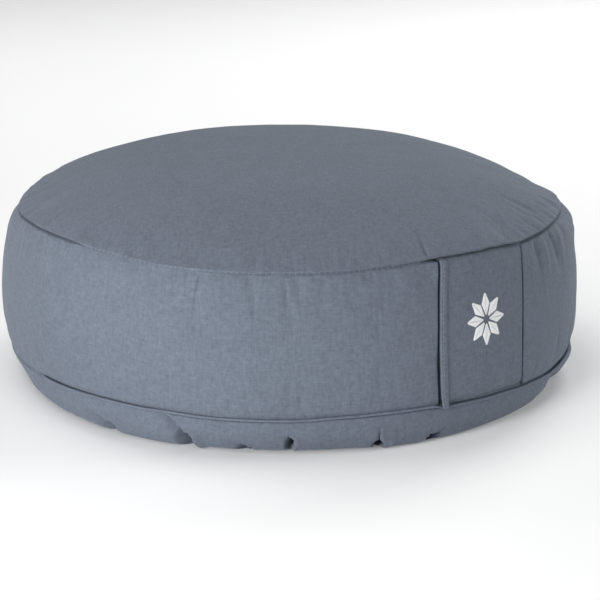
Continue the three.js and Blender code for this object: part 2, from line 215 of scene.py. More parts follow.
# Creases drawn on the cloth: panel, line of (angle, height), half width, depth (negative
# for a ridge), and how far one side laps over: the right one of a line that runs down, the left
# one of a line that runs up. On the crown the line is (angle, radius).
CREASES = (
    ("crown", ((28.4, 175.0), (27.8, 184.0), (27.2, 192.0)), 1.3, 1.1, 0),
    ("crown", ((9.8, 178.0), (9.4, 186.2), (9.0, 192.4)), 2.3, -0.6, 0),
    ("crown", ((18.3, 181.0), (18.0, 192.0)), 1.5, 0.6, 0),
    ("crown", ((33.8, 174.0), (33.9, 183.0), (33.6, 191.0)), 2.0, 0.4, 0),
    ("crown", ((23.1, 184.0), (22.8, 192.0)), 1.5, 0.5, 0),
    ("crown", ((79.8, 176.0), (80.0, 183.7), (79.0, 190.0)), 1.3, 1.0, 0),
    ("crown", ((74.3, 176.0), (74.9, 186.7)), 2.1, -0.7, 0),
    ("crown", ((-82.1, 191.3), (-86.2, 184.4), (-89.6, 178.2)), 1.3, 0.45, 0),
    ("crown", ((-91.0, 174.0), (-98.0, 167.0)), 2.0, 0.3, 0),
    ("crown", ((-128.0, 191.0), (-126.0, 178.0)), 2.4, 0.7, 0),
    ("crown", ((-152.0, 192.0), (-153.5, 176.0)), 2.2, 0.8, 0),
    ("crown", ((163.0, 192.0), (160.0, 174.0)), 2.6, 0.9, 0),
    ("crown", ((118.0, 191.0), (121.0, 177.0)), 2.2, 0.7, 0),
    ("band", ((57.2, 117.5), (57.3, 107.7), (57.6, 97.4), (57.7, 89.0)), 2.4, 1.0, 0),
    ("band", ((64.2, 118.5), (65.3, 110.1), (65.8, 102.9), (66.0, 95.0)), 2.4, 0.9, 0),
    ("band", ((72.0, 116.0), (70.8, 103.6), (71.2, 94.0)), 2.4, 0.5, 0),
    ("band", ((79.7, 119.0), (81.4, 117.0), (82.6, 114.3), (84.0, 108.0)), 1.4, 1.0, 0),
    ("band", ((60.3, 117.0), (60.6, 105.3), (60.7, 94.9)), 1.8, -0.7, 0),
    ("band", ((68.4, 118.0), (68.2, 106.0)), 2.0, -0.5, 0),
    ("band", ((-43.0, 122.5), (-42.6, 112.0)), 2.4, 0.35, 0),
    ("band", ((-39.0, 122.0), (-39.4, 110.0)), 2.0, 0.3, 0),
    ("band", ((-34.0, 121.0), (-34.2, 110.0)), 2.2, 0.35, 0),
    ("band", ((-27.0, 119.0), (-26.8, 108.0)), 2.4, 0.35, 0),
    ("band", ((-21.0, 118.5), (-21.4, 109.0)), 2.0, 0.3, 0),
    ("band", ((-17.0, 118.0), (-16.8, 108.0)), 2.2, 0.3, 0),
    ("band", ((-101.0, 119.0), (-103.0, 104.0)), 2.4, 1.0, 0),
    ("band", ((-155.0, 119.0), (-157.5, 101.0)), 2.4, 1.1, 0),
    ("band", ((-146.0, 119.5), (-145.0, 107.0)), 2.2, 0.8, 0),
    ("band", ((133.0, 114.5), (130.0, 99.0)), 2.4, 1.2, 0),
    ("band", ((140.5, 117.0), (139.0, 106.0)), 2.0, 0.8, 0),
    ("band", ((170.0, 118.5), (172.0, 106.0)), 2.2, 0.7, 0),
    ("skirt", ((-41.6, 15.5), (-38.0, 10.4), (-36.4, 5.5), (-35.2, 0.0)), 2.4, 4.2, 1.5),
    (
        "skirt", ((-23.4, 24.5), (-22.0, 19.6), (-20.2, 14.0), (-18.6, 8.0), (-18.0, 0.0)),
        3.0, 6.0, 2.6,
    ),
    ("skirt", ((-10.0, 8.5), (-8.1, 5.3), (-6.6, 0.0)), 1.3, 2.0, 0.9),
    ("skirt", ((-0.3, 14.0), (0.6, 11.0), (1.2, 7.6), (0.6, 4.0), (0.8, 0.0)), 1.6, 3.2, 1.8),
    ("skirt", ((16.9, 16.0), (17.1, 9.0), (17.6, 4.0), (18.2, 0.0)), 1.8, 2.2, 1.6),
    ("skirt", ((19.2, 17.0), (19.6, 5.0)), 2.2, -1.0, 0),
    ("skirt", ((25.4, 0.0), (27.6, 4.2), (30.4, 9.6)), 1.8, 2.0, 1.4),
    ("skirt", ((61.0, 0.0), (62.2, 8.0), (64.2, 14.5), (68.0, 18.0)), 2.0, 3.4, 1.6),
    ("skirt", ((-112.0, 2.0), (-113.4, 16.0)), 1.3, 2.4, 1.0),
    ("skirt", ((-168.0, 1.0), (-170.6, 18.0)), 1.3, 2.6, 1.2),
    ("skirt", ((121.0, 1.0), (123.4, 17.0)), 1.3, 2.4, 1.0),
)

# Creases are measured at these radii, and each reaches this many half widths to its sides
CROWN_CREASE_RADIUS, SIDE_CREASE_RADIUS = 180.0, 200.0
CREASE_REACH = 3

# Stitches: pitch of the top seam's, how far each dents the cloth beside it, and the lengths of
# the two waves of the longer puckers. The lower seam's are read at a wider radius, so that they
# differ from the top's.
SEAM_PITCH, DENT_REACH = 3.7, 2.2
LONG_WAVE, SHORT_WAVE = 9, 4.5
TOP_PUCKER_REACH, TOP_PUCKER_END = 9.0, 30
LOW_STITCH, LOW_PUCKER, LOW_PUCKER_REACH, LOW_PUCKER_END = 0.12, 0.28, 6.0, 24
LOW_PUCKER_RADIUS = LOW_RADIUS + 37

# The slit at the placket's fold: depth, its half width outside and inside, and its ends
SLIT_DEPTH, SLIT_OUTSIDE, SLIT_INSIDE, SLIT_START, SLIT_END = 4.2, 0.8, 3.2, -1.4, 8

# The seam at the placket's sewn edge: depth at its foot, how much less it is deep above, where
# that starts and over what share of the height, half width, and the low ridge beside it
EDGE_DEPTH, EDGE_EASE, EDGE_FROM, EDGE_OVER, EDGE_HALF = 2.4, 1.2, 0.45, 0.25, 1.1
EDGE_REACH, RIDGE_HEIGHT, RIDGE_AWAY, RIDGE_HALF = 4, 0.2, 2.0, 0.9

# Slow unevenness of the filled cloth: depth and wave of each part
UNEVEN = ((0.5, 46), (0.12, 13))
RESTING_HEIGHT = 4


def clamped(share):
    return min(max(share, 0.0), 1.0)


def eased(share):
    """A share from 0 to 1, slowed at both ends."""
    share = clamped(share)
    return share * share * (3 - 2 * share)


def blended(table, turn):
    """The values of a table's rows at an angle, eased from one row to the next."""
    after = min(bisect.bisect_left(table, (turn,)), len(table) - 1)
    low, high = table[max(after - 1, 0)], table[max(after, 1)]
    ease = eased((turn - low[0]) / (high[0] - low[0]))
    return [a + (b - a) * ease for a, b in zip(low[1:], high[1:])]


def lerp(a, b, share):
    return a + (b - a) * share


def wrapped(turn):
    """The same angle from -180 to 180 degrees."""
    return (turn + 180) % 360 - 180


def bell(x):
    return math.exp(-x * x)


def around(radius, turn, height):
    """The point at a radius, an angle in degrees and a height."""
    angle = math.radians(turn)
    return Vector((radius * math.sin(angle), -radius * math.cos(angle), height))


class Sector:
    """What changes round the cushion, at one angle."""

    def __init__(self, turn):
        top, low, floor, bulge, self.shoulder, self.square = blended(SECTORS, turn)
        self.top = TOP_HEIGHT + top
        self.low = LOW_HEIGHT + low
        self.floor = FLOOR_RADIUS + floor
        self.bulge = BAND_BULGE + bulge


def bowed(turn, share):
    """The placket's edges bow across the band, and the cloth beside them with them."""
    share = clamped(share)
    shift = 0.0
    for edge, deepest, gain, middle in EDGE_BOWS:
        bow = deepest + gain * (share - middle) ** 2
        shift += bow * bell(wrapped(turn - edge) / BOW_WIDTH)
    return turn + shift


def placket_inset(turn):
    """How far the band lies in under the placket."""
    if not HEM_EDGE <= turn <= SEWN_EDGE:
        return 0.0
    return lerp(HEM_INSET, SEWN_INSET, (turn - HEM_EDGE) / (SEWN_EDGE - HEM_EDGE))


def skirt_point(turn, sector, tilt):
    """A point of the bottom panel where it turns up, from 90 degrees at the floor to 0."""
    lift = math.radians(tilt)
    up = 1 - math.sin(lift)
    recess = 0.0
    for angle, width, depth, lean, reach in SKIRT_FOLDS:
        if up < reach:
            across = wrapped(turn - angle - lean * up) / width
            recess += depth * (1 - up / reach) * bell(across)
    out = max(math.cos(lift), 0.0) ** SKIRT_ROUNDNESS
    radius = lerp(sector.floor, LOW_RADIUS - SEAM_INSET, out)
    for angle, width, lobe, height in SKIRT_LOBES:
        radius += lobe * bell(wrapped(turn - angle) / width) * bell((up - height) / 0.3)
    return around(radius - recess, turn, (sector.low - LOW_LIP) * up)


def band_point(turn, sector, share, out=0.0):
    """A point of the band, at a share of its height."""
    height = lerp(sector.low + LOW_LIP, sector.top - TOP_LIP, share)
    middle = math.sin(math.pi * clamped(share))
    radius = lerp(LOW_RADIUS, TOP_RADIUS, share) - SEAM_INSET
    radius += sector.bulge * middle**BAND_ROUNDNESS
    radius += 2 * sector.shoulder * middle * share * share
    for angle, width, at, reach, swell in BAND_SWELLS:
        fade = min(1.0, (1 - share) / 0.04, share / 0.04)
        swell *= bell(wrapped(turn - angle) / width) * bell((share - at) / reach)
        radius += swell * max(fade, 0.0)
    for angle, width, depth, reach in BAND_PLEATS:
        below = 1 - share
        if below < reach:
            fade = (1 - below / reach) * min(1, below / 0.05)
            radius -= depth * fade * bell(wrapped(turn - angle) / width)
    return around(radius + out, bowed(turn, share), height)


def crown_point(turn, sector, share):
    """A point of the top panel, at a share of its radius."""
    height = lerp(SUMMIT_HEIGHT, sector.top + TOP_LIP, share**sector.square)
    return around((TOP_RADIUS - SEAM_INSET) * share, turn, height)


def profile(turn):
    """The smooth cloth at one angle, from the middle of the base to the crown, row by row."""
    sector = Sector(turn)
    floor = skirt_point(turn, sector, 90)
    inset = placket_inset(turn)
    low_radius, top_radius = LOW_RADIUS - SEAM_INSET, TOP_RADIUS - SEAM_INSET
    return (
        [floor * share for share in BASE_ROWS]
        + [skirt_point(turn, sector, tilt) for tilt in SKIRT_ROWS]
        + [around(low_radius, turn, sector.low + t) for t in LOW_SEAM_ROWS]
        + [band_point(turn, sector, share, -inset) for share in BAND_ROWS]
        + [around(top_radius - inset / 2, turn, sector.top + t) for t in TOP_SEAM_ROWS]
        + [crown_point(turn, sector, share) for share in CROWN_ROWS]
    )


def column_angles():
    """Angles of the mesh's columns, closer together where the cloth has more to show."""
    total = [0.0]
    for index in range(int(360 / COLUMN_STEP)):
        turn = -180 + (index + 0.5) * COLUMN_STEP
        density = 1.0
        for angle, width, closer in CLOSER_COLUMNS:
            away = abs(wrapped(turn - angle)) / width
            density += closer / (1 + away**6)
        total.append(total[-1] + density)
    angles = []
    for column in range(COLUMNS):
        wanted = total[-1] * column / COLUMNS
        after = bisect.bisect_right(total, wanted)
        share = (wanted - total[after - 1]) / (total[after] - total[after - 1])
        angles.append(-180 + (after - 1 + share) * COLUMN_STEP)
    return angles


def turn_of(point):
    return math.degrees(math.atan2(point.x, -point.y))


def turn_near(point, turn):
    """The point's angle, past 180 degrees where it lies across the back from a turn."""
    own = turn_of(point)
    return own + math.copysign(360, turn) if abs(own - turn) > 180 else own


def outwards_of(point):
    """The level direction from the middle to a point."""
    return (point * Vector((1, 1, 0))).normalized()


def panel_of(point, sector):
    """Which of the sewn panels a point, in mm, is on."""
    if point.z > sector.top:
        return "crown"
    if point.z > sector.low:
        return "band"
    resting = point.z < BASE_LEVEL and math.hypot(point.x, point.y) < FLAT_BASE_RADIUS
    return "base" if resting else "skirt"


# Work in Blender


def deselect_all():
    for item in bpy.context.selected_objects:
        item.select_set(False)


def make_active(item):
    deselect_all()
    item.select_set(True)
    bpy.context.view_layer.objects.active = item


def new_piece(name):
    """Takes the primitive just added as a piece of that name."""
    item = bpy.context.object
    item.name = item.data.name = name
    return item


def add_and_apply(item, name, kind, **settings):
    """Adds a modifier and applies it."""
    make_active(item)
    modifier = item.modifiers.new(name, kind)
    for key, value in settings.items():
        setattr(modifier, key, value)
    bpy.ops.object.modifier_apply(modifier=modifier.name)


def smooth_once(item):
    """Subdivides the piece once."""
    add_and_apply(item, "Smooth", "SUBSURF", levels=1, render_levels=1)


def finish_piece(item, material, smooth=True):
    """Places the piece in its mesh, gives it its cloth and rides it on the body."""
    make_active(item)
    bpy.ops.object.transform_apply(location=True, rotation=True, scale=True)
    item.data.materials.clear()
    item.data.materials.append(material)
    if smooth:
        bpy.ops.object.shade_smooth()
    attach(item, "root")
    deselect_all()
    return item


def cloth_layer(mesh):
    """The mesh's one UV map, for places on the flat cloth."""
    while mesh.uv_layers:
        mesh.uv_layers.remove(mesh.uv_layers[0])
    return mesh.uv_layers.new(name="cloth").data


def set_uv(item, place):
    """Gives each face corner the place on the flat cloth that place(face centre, point) says."""
    mesh = item.data
    layer = cloth_layer(mesh)
    points = [v.co / MM for v in mesh.vertices]
    for face in mesh.polygons:
        centre = face.center / MM
        for loop in face.loop_indices:
            layer[loop].uv = place(centre, points[mesh.loops[loop].vertex_index])


# Shader node groups


def new_group(name, inputs, outputs):
    """A shader node group with its inputs and outputs, and those two nodes."""
    tree = bpy.data.node_groups.new(name, "ShaderNodeTree")
    for label, kind, value in inputs:
        socket = tree.interface.new_socket(label, in_out="INPUT", socket_type=kind)
        if value is not None:
            socket.default_value = value
    for label, kind in outputs:
        tree.interface.new_socket(label, in_out="OUTPUT", socket_type=kind)
    return tree, tree.nodes.new("NodeGroupInput"), tree.nodes.new("NodeGroupOutput")


def math_node(tree, operation, first, second=None, third=None):
    """A Math node fed by sockets or plain numbers; gives its output."""
    node = tree.nodes.new("ShaderNodeMath")
    node.operation = operation
    for socket, value in zip(node.inputs, (first, second, third)):
        if isinstance(value, (int, float)):
            socket.default_value = value
        elif value is not None:
            tree.links.new(value, socket)
    return node.outputs[0]


def scaled_vector(tree, vector, scale):
    """The vector, multiplied on each axis."""
    node = tree.nodes.new("ShaderNodeVectorMath")
    node.operation = "MULTIPLY"
    tree.links.new(vector, node.inputs[0])
    node.inputs[1].default_value = scale
    return node.outputs[0]


def noise_value(tree, vector, scale, detail=2.0, roughness=0.5):
    node = tree.nodes.new("ShaderNodeTexNoise")
    node.inputs["Scale"].default_value = scale
    node.inputs["Detail"].default_value = detail
    node.inputs["Roughness"].default_value = roughness
    tree.links.new(vector, node.inputs["Vector"])
    return node.outputs["Fac"]


def twill_group():
    """Warp and weft threads of a two-over-one twill, from a place on the cloth in metres."""
    tree, given, made = new_group(
        "twill weave",
        [("Place", "NodeSocketVector", None), ("Threads per metre", "NodeSocketFloat", 1600.0)],
        [("Height", "NodeSocketFloat"), ("Slub", "NodeSocketFloat")],
    )
    split = tree.nodes.new("ShaderNodeSeparateXYZ")
    tree.links.new(given.outputs["Place"], split.inputs[0])
    warp = math_node(tree, "MULTIPLY", split.outputs["X"], given.outputs["Threads per metre"])
    weft = math_node(tree, "MULTIPLY", split.outputs["Y"], given.outputs["Threads per metre"])
    step = math_node(
        tree, "ADD", math_node(tree, "FLOOR", warp), math_node(tree, "FLOOR", weft)
    )
    over = math_node(tree, "GREATER_THAN", math_node(tree, "FLOORED_MODULO", step, 3.0), 0.5)
    rounds = [
        math_node(
            tree, "SINE", math_node(tree, "MULTIPLY", math_node(tree, "FRACT", line), math.pi)
        )
        for line in (warp, weft)
    ]
    raised = math_node(tree, "MULTIPLY_ADD", rounds[0], 0.7, 0.3)
    sunk = math_node(tree, "MULTIPLY", rounds[1], 0.7)
    shown = math_node(tree, "MULTIPLY", raised, over)
    hidden = math_node(tree, "MULTIPLY", sunk, math_node(tree, "SUBTRACT", 1.0, over))
    tree.links.new(math_node(tree, "ADD", shown, hidden), made.inputs["Height"])
    along = noise_value(tree, scaled_vector(tree, given.outputs["Place"], (1200, 90, 1)), 1.0)
    across = noise_value(tree, scaled_vector(tree, given.outputs["Place"], (90, 1200, 1)), 1.0)
    tree.links.new(
        math_node(tree, "MULTIPLY", math_node(tree, "ADD", along, across), 0.5),
        made.inputs["Slub"],
    )
    return tree


def handled_group():
    """Slow changes of tone from handling and dust, and small lint, from the object's place."""
    tree, given, made = new_group(
        "handled cloth",
        [("Place", "NodeSocketVector", None)],
        [
            ("Mottle", "NodeSocketFloat"),
            ("Blotch", "NodeSocketFloat"),
            ("Lint", "NodeSocketFloat"),
        ],
    )
    slow = noise_value(tree, given.outputs["Place"], 14.0, 3.0, 0.6)
    cloud = noise_value(tree, given.outputs["Place"], 60.0, 3.0, 0.6)
    tree.links.new(
        math_node(tree, "MULTIPLY", math_node(tree, "ADD", slow, cloud), 0.5),
        made.inputs["Mottle"],
    )
    tree.links.new(
        noise_value(tree, given.outputs["Place"], 420.0, 3.0, 0.7), made.inputs["Blotch"]
    )
    speck = noise_value(tree, given.outputs["Place"], 900.0, 1.0, 0.5)
    cut = math_node(tree, "SUBTRACT", speck, 0.72)
    tree.links.new(
        math_node(tree, "MAXIMUM", math_node(tree, "MULTIPLY", cut, 6.0), 0.0),
        made.inputs["Lint"],
    )
    return tree


def group_node(tree, group, place):
    """The group in a material, fed with a place."""
    node = tree.nodes.new("ShaderNodeGroup")
    node.node_tree = group
    tree.links.new(place, node.inputs["Place"])
    return node


def new_material(name, colour):
    """A material, its node tree, its shader and its place in the object."""
    material = bpy.data.materials.new(name)
    material.use_nodes = True
    material.diffuse_color = (*colour, 1.0)
    tree = material.node_tree
    place = tree.nodes.new("ShaderNodeTexCoord").outputs["Object"]
    return tree, tree.nodes["Principled BSDF"], place


def set_colour(tree, shader, colour, tone):
    """Feeds the shader the colour, made lighter and darker by the tone."""
    mix = tree.nodes.new("ShaderNodeVectorMath")
    mix.operation = "SCALE"
    mix.inputs[0].default_value = colour
    tree.links.new(tone, mix.inputs["Scale"])
    tree.links.new(mix.outputs[0], shader.inputs["Base Color"])


def set_relief(tree, shader, height, strength, distance):
    """Feeds the shader's normal from a height."""
    relief = tree.nodes.new("ShaderNodeBump")
    relief.inputs["Strength"].default_value = strength
    relief.inputs["Distance"].default_value = distance
    tree.links.new(height, relief.inputs["Height"])
    tree.links.new(relief.outputs["Normal"], shader.inputs["Normal"])


def varied(tree, tone, value, amount):
    """The tone, plus an amount for each step of a value above its middle."""
    off = math_node(tree, "SUBTRACT", value, 0.5)
    return math_node(tree, "MULTIPLY_ADD", off, amount, tone)


def cloth_material(name, colour, look, twill, handled, bump):
    """Matte twill: woven threads with painted shade between them, uneven yarn, handling and lint
    over a base colour.
    """
    tree, shader, place = new_material(name, colour)
    shader.inputs["Sheen Weight"].default_value = look.sheen
    shader.inputs["Sheen Roughness"].default_value = 0.45
    shader.inputs["Sheen Tint"].default_value = (0.8, 0.88, 1.0, 1.0)
    shader.inputs["Specular IOR Level"].default_value = 0.18

    flat = tree.nodes.new("ShaderNodeUVMap")
    flat.uv_map = "cloth"
    weave = group_node(tree, twill, flat.outputs["UV"])
    weave.inputs["Threads per metre"].default_value = look.threads
    worn = group_node(tree, handled, place)

    tone = math_node(tree, "SUBTRACT", weave.outputs["Slub"], 0.5)
    tone = math_node(tree, "MULTIPLY", tone, 0.8)
    tone = varied(tree, tone, worn.outputs["Mottle"], 0.3)
    tone = varied(tree, tone, worn.outputs["Blotch"], 0.75)
    # Painted shade: the cloth is darker in the hollows between the woven threads and lighter on
    # their crowns
    tone = varied(tree, tone, weave.outputs["Height"], 0.12)
    tone = math_node(tree, "MULTIPLY_ADD", worn.outputs["Lint"], 0.08, tone)
    set_colour(tree, shader, colour, math_node(tree, "ADD", tone, 1.0))
    tree.links.new(
        math_node(tree, "MULTIPLY_ADD", worn.outputs["Mottle"], 0.12, look.roughness - 0.06),
        shader.inputs["Roughness"],
    )
    height = math_node(tree, "MULTIPLY_ADD", weave.outputs["Slub"], 0.8, weave.outputs["Height"])
    set_relief(tree, shader, height, bump, 0.0002)


def thread_material(name, colour, handled, roughness):
    """Twisted sewing thread: plies across each stitch, a soft shine and a little dust."""
    tree, shader, place = new_material(name, colour)
    shader.inputs["Sheen Weight"].default_value = 0.2
    shader.inputs["Specular IOR Level"].default_value = 0.35
    worn = group_node(tree, handled, place)
    plies = noise_value(tree, place, 2600.0, 2.0, 0.6)
    tone = math_node(tree, "MULTIPLY_ADD", plies, 0.3, 0.82)
    tone = math_node(tree, "MULTIPLY_ADD", worn.outputs["Mottle"], 0.12, tone)
    set_colour(tree, shader, colour, tone)
    tree.links.new(
        math_node(tree, "MULTIPLY_ADD", plies, 0.2, roughness - 0.1),
        shader.inputs["Roughness"],
    )
    set_relief(tree, shader, plies, 0.5, 0.00015)


def materials():
    """The finishes by name, made once and shared by the pieces."""
    if "cotton twill" not in bpy.data.materials:
        look = bpy.context.scene.cushion_look
        twill, handled = twill_group(), handled_group()
        cloth_material("cotton twill", look.cloth[:], look, twill, handled, 0.55)
        cloth_material("rolled strip", look.strip[:], look, twill, handled, 0.6)
        cloth_material("placket twill", look.placket[:], look, twill, handled, 0.6)
        thread_material("seam thread", look.thread[:], handled, 0.8)
        thread_material("ornament thread", look.ornament[:], handled, 0.65)
    return bpy.data.materials


# The filled cushion


def round_grid(name):
    """A sphere whose rings and columns become the cushion's rows and angles. Gives the piece and
    the row of each vertex."""
    rows, radius = len(profile(0.0)), 0.2
    deselect_all()
    bpy.ops.mesh.primitive_uv_sphere_add(segments=COLUMNS, ring_count=rows + 1, radius=radius)
    item = new_piece(name)
    lines = [profile(turn) for turn in column_angles()]
    poles, rings = [], []
    for vertex in item.data.vertices:
        place = vertex.co
        up = max(-1, min(1, place.z / radius))
        ring = round((1 - math.acos(up) / math.pi) * (rows + 1))
        if 0 < ring <= rows:
            column = round((turn_of(place) + 180) / 360 * COLUMNS) % COLUMNS
            vertex.co = lines[column][ring - 1] * MM
            rings.append(ring)
        else:
            poles.append(vertex.index)
    choose_vertices(item, poles)
    bpy.ops.object.mode_set(mode="EDIT")
    bpy.ops.mesh.delete(type="VERT")
    bpy.ops.object.mode_set(mode="OBJECT")
    return item, put_in_order(item.data, rings)


def put_in_order(mesh, rings):
    """Numbers the points and faces by row and angle, because Blender's own numbers for a new
    sphere change from run to run, and the simulation's result with them. Gives the new rings."""
    vertices = mesh.vertices
    keys = [(ring, round(turn_of(v.co), 4)) for ring, v in zip(rings, vertices)]
    order = sorted(range(len(vertices)), key=keys.__getitem__)
    number = {old: new for new, old in enumerate(order)}
    points = [vertices[old].co.copy() for old in order]
    faces = []
    for face in mesh.polygons:
        corners = [number[old] for old in face.vertices]
        first = corners.index(min(corners))
        faces.append(corners[first:] + corners[:first])
    mesh.clear_geometry()
    mesh.from_pydata(points, [], sorted(faces))
    return [rings[old] for old in order]


def choose_vertices(item, chosen):
    """Selects these vertices of the piece, and nothing else."""
    make_active(item)
    bpy.ops.object.mode_set(mode="EDIT")
    bpy.ops.mesh.select_mode(type="VERT")
    bpy.ops.mesh.select_all(action="DESELECT")
    bpy.ops.object.mode_set(mode="OBJECT")
    for index in chosen:
        item.data.vertices[index].select = True


def close_poles(item):
    """Draws the open rings in the middle of the base and of the crown to a point each."""
    uses = {}
    for face in item.data.polygons:
        for key in face.edge_keys:
            uses[key] = uses.get(key, 0) + 1
    rims = {index for key, count in uses.items() if count == 1 for index in key}
    for crown in (False, True):
        vertices = item.data.vertices
        choose_vertices(
            item, [i for i in rims if (vertices[i].co.z > LOW_HEIGHT * MM) == crown]
        )
        bpy.ops.object.mode_set(mode="EDIT")
        bpy.ops.mesh.extrude_region_move()
        bpy.ops.mesh.merge(type="CENTER")
        bpy.ops.object.mode_set(mode="OBJECT")


# What the filling doesn't press out: cloth up to this height above the lower seam, cloth this
# near to the top seam, which is further than a length from the origin, and the crown's middle
SKIRT_HOLD, SEAM_HOLD, OUTER_LENGTH, CROWN_HOLD = 4, 2.0, 190, 60
CLOTH_SETTINGS = {
    "quality": 6,
    "mass": 0.3,
    "tension_stiffness": 20,
    "compression_stiffness": 20,
    "shear_stiffness": 10,
    "bending_stiffness": 0.4,
    "vertex_group_mass": "sewn",
    "use_pressure": True,
}
FRAMES = 20


def fill_with_pressure(item, rings, sizes):
    """Presses the panels out between their sewn edges. Each row keeps its mean place, so that the
    outline stays, and each move its cap."""
    mesh = item.data
    start = [v.co.copy() for v in mesh.vertices]
    normals = [v.normal.copy() for v in mesh.vertices]
    sewn = item.vertex_groups.new(name="sewn")
    held = []
    for vertex in mesh.vertices:
        point = vertex.co / MM
        sector = Sector(turn_of(point))
        at_seam = point.length > OUTER_LENGTH and abs(point.z - sector.top) < SEAM_HOLD
        if point.z < sector.low + SKIRT_HOLD or at_seam or point.xy.length < CROWN_HOLD:
            held.append(vertex.index)
    sewn.add(held, 1.0, "REPLACE")
    cloth = item.modifiers.new("Fill", "CLOTH")
    for key, value in CLOTH_SETTINGS.items():
        setattr(cloth.settings, key, value)
    cloth.settings.shrink_min = -sizes.spare_cloth
    cloth.settings.uniform_pressure_force = sizes.pressure
    cloth.settings.effector_weights.gravity = 0.0
    cloth.collision_settings.use_collision = False
    cloth.collision_settings.use_self_collision = False
    cloth.point_cache.frame_start, cloth.point_cache.frame_end = 1, FRAMES
    for step in range(1, FRAMES + 1):
        bpy.context.scene.frame_set(step)
    make_active(item)
    bpy.ops.object.modifier_apply(modifier=cloth.name)
    bpy.context.scene.frame_set(1)
    item.vertex_groups.clear()
    moves = [v.co - place for v, place in zip(item.data.vertices, start)]
    outwards = {}
    for move, normal, ring in zip(moves, normals, rings):
        outwards.setdefault(ring, []).append(move.dot(normal))
    held = set(held)
    for vertex, place, move, normal, ring in zip(
        item.data.vertices, start, moves, normals, rings
    ):
        if vertex.index in held:
            vertex.co = place
            continue
        move -= normal * (sum(outwards[ring]) / len(outwards[ring]))
        vertex.co = place + move * min(1.0, sizes.swell_cap / max(move.length, 1e-9))


class Crease:
    """A line drawn on a panel, with the angles it can reach."""

    def __init__(self, panel, line, width, depth, lap):
        self.panel, self.width, self.depth, self.lap = panel, width, depth, lap
        self.hand = 1 if line[0][1] > line[-1][1] else -1
        self.middle = line[len(line) // 2][0]
        radius = CROWN_CREASE_RADIUS if panel == "crown" else SIDE_CREASE_RADIUS
        self.scale = math.radians(1) * radius
        self.points = [((turn - self.middle) * self.scale, up) for turn, up in line]
        ends = [x for x, _ in self.points]
        self.left = min(ends) - CREASE_REACH * width
        self.right = max(ends) + CREASE_REACH * width
        self.sizes = [math.dist(a, b) for a, b in zip(self.points, self.points[1:])]
        self.length = sum(self.sizes)
        self.starts = [sum(self.sizes[:i]) for i in range(len(self.sizes))]

    def across(self, turn, up):
        """The signed distance to the line, to its right, and the share along it; or None."""
        x = wrapped(turn - self.middle) * self.scale
        if not self.left < x < self.right:
            return None
        best = None
        for (ax, ay), (bx, by), start, size in zip(
            self.points, self.points[1:], self.starts, self.sizes
        ):
            dx, dy = (bx - ax) / size, (by - ay) / size
            along = min(max((x - ax) * dx + (up - ay) * dy, 0.0), size)
            px, py = x - ax - dx * along, up - ay - dy * along
            away = math.hypot(px, py)
            if best is None or away < best[0]:
                side = dx * py - dy * px
                best = away, side, (start + along) / self.length
        away, side, share = best
        if away > CREASE_REACH * self.width:
            return None
        return math.copysign(away, side), share


def crease_moves(creases, panel, turn, up):
    """How far the creases take a point inwards, and to the left, in mm."""
    inwards = left = 0.0
    for crease in creases:
        if crease.panel != panel:
            continue
        found = crease.across(turn, up)
        if found is None:
            continue
        away, share = found
        taper = min(1.0, 4 * share + 0.3, 4 * (1 - share) + 0.15)
        if panel == "skirt":
            from_end = share if crease.hand > 0 else 1 - share
            taper = min(1.0, 0.25 + 1.3 * from_end)
        x = away / crease.width
        if crease.lap == 0:
            inwards += crease.depth * taper * bell(x)
        elif x < 0:
            inwards += crease.depth * taper * bell(x)
        else:
            inwards += crease.depth * taper * bell(x / 0.35)
            inwards -= 0.9 * crease.lap * taper * x * bell(x / 1.2)
            left += crease.hand * crease.lap * taper * bell(x / 0.8)
    return inwards, left


def hollow_move(turn, height):
    """How far the hollows of the turned-up panel take a place inwards, and to the right."""
    for angle, middle, width, reach, depth, sideways in SKIRT_HOLLOWS:
        away = (wrapped(turn - angle) / width) ** 2 + ((height - middle) / reach) ** 2
        if away < 1:
            share = (1 - away) ** 0.7
            return depth * share, sideways * share
    return 0.0, 0.0


def seam_gap(away, depth, width):
    """A gap with rounded lips: deep at the stitches, nothing past its half width."""
    x = min(abs(away) / width, 1.0)
    return depth * (1 - x) ** 0.8


def pucker(turn, away, stitch, longer, radius, reach):
    """Dents of single stitches, and longer uneven ones, beside a seam."""
    along = math.radians(turn) * radius
    beat = 1 + math.cos(2 * math.pi * along / SEAM_PITCH)
    dent = stitch * 0.5 * beat * math.exp(-away / DENT_REACH)
    ring = Vector((math.sin(along / radius), math.cos(along / radius), 0)) * radius
    short = noise.noise(ring / SHORT_WAVE + Vector((9, 3, 1)))
    wave = noise.noise(ring / LONG_WAVE) + 0.5 * short
    fade = math.exp(-((away / reach) ** 1.3))
    return dent + longer * wave * fade


def placket_seams(from_hem, from_sewn, share):
    """How far the band's cloth lies in at the slit under the placket's fold and at its sewn edge,
    from the degrees past each and the share of the band's height."""
    inwards = 0.0
    slit = (from_hem + 0.2) * math.radians(LOW_RADIUS)
    if SLIT_START < slit < SLIT_END:
        half = SLIT_OUTSIDE if slit < 0 else SLIT_INSIDE
        inwards += SLIT_DEPTH * math.exp(-((slit / half) ** 4))
    edge = from_sewn * math.radians(LOW_RADIUS)
    if abs(edge) < EDGE_REACH:
        depth = EDGE_DEPTH - EDGE_EASE * clamped((share - EDGE_FROM) / EDGE_OVER)
        inwards += depth * max(0.0, 1 - abs(edge) / EDGE_HALF) ** 1.1
        inwards -= RIDGE_HEIGHT * bell((edge - RIDGE_AWAY) / RIDGE_HALF)
    return inwards


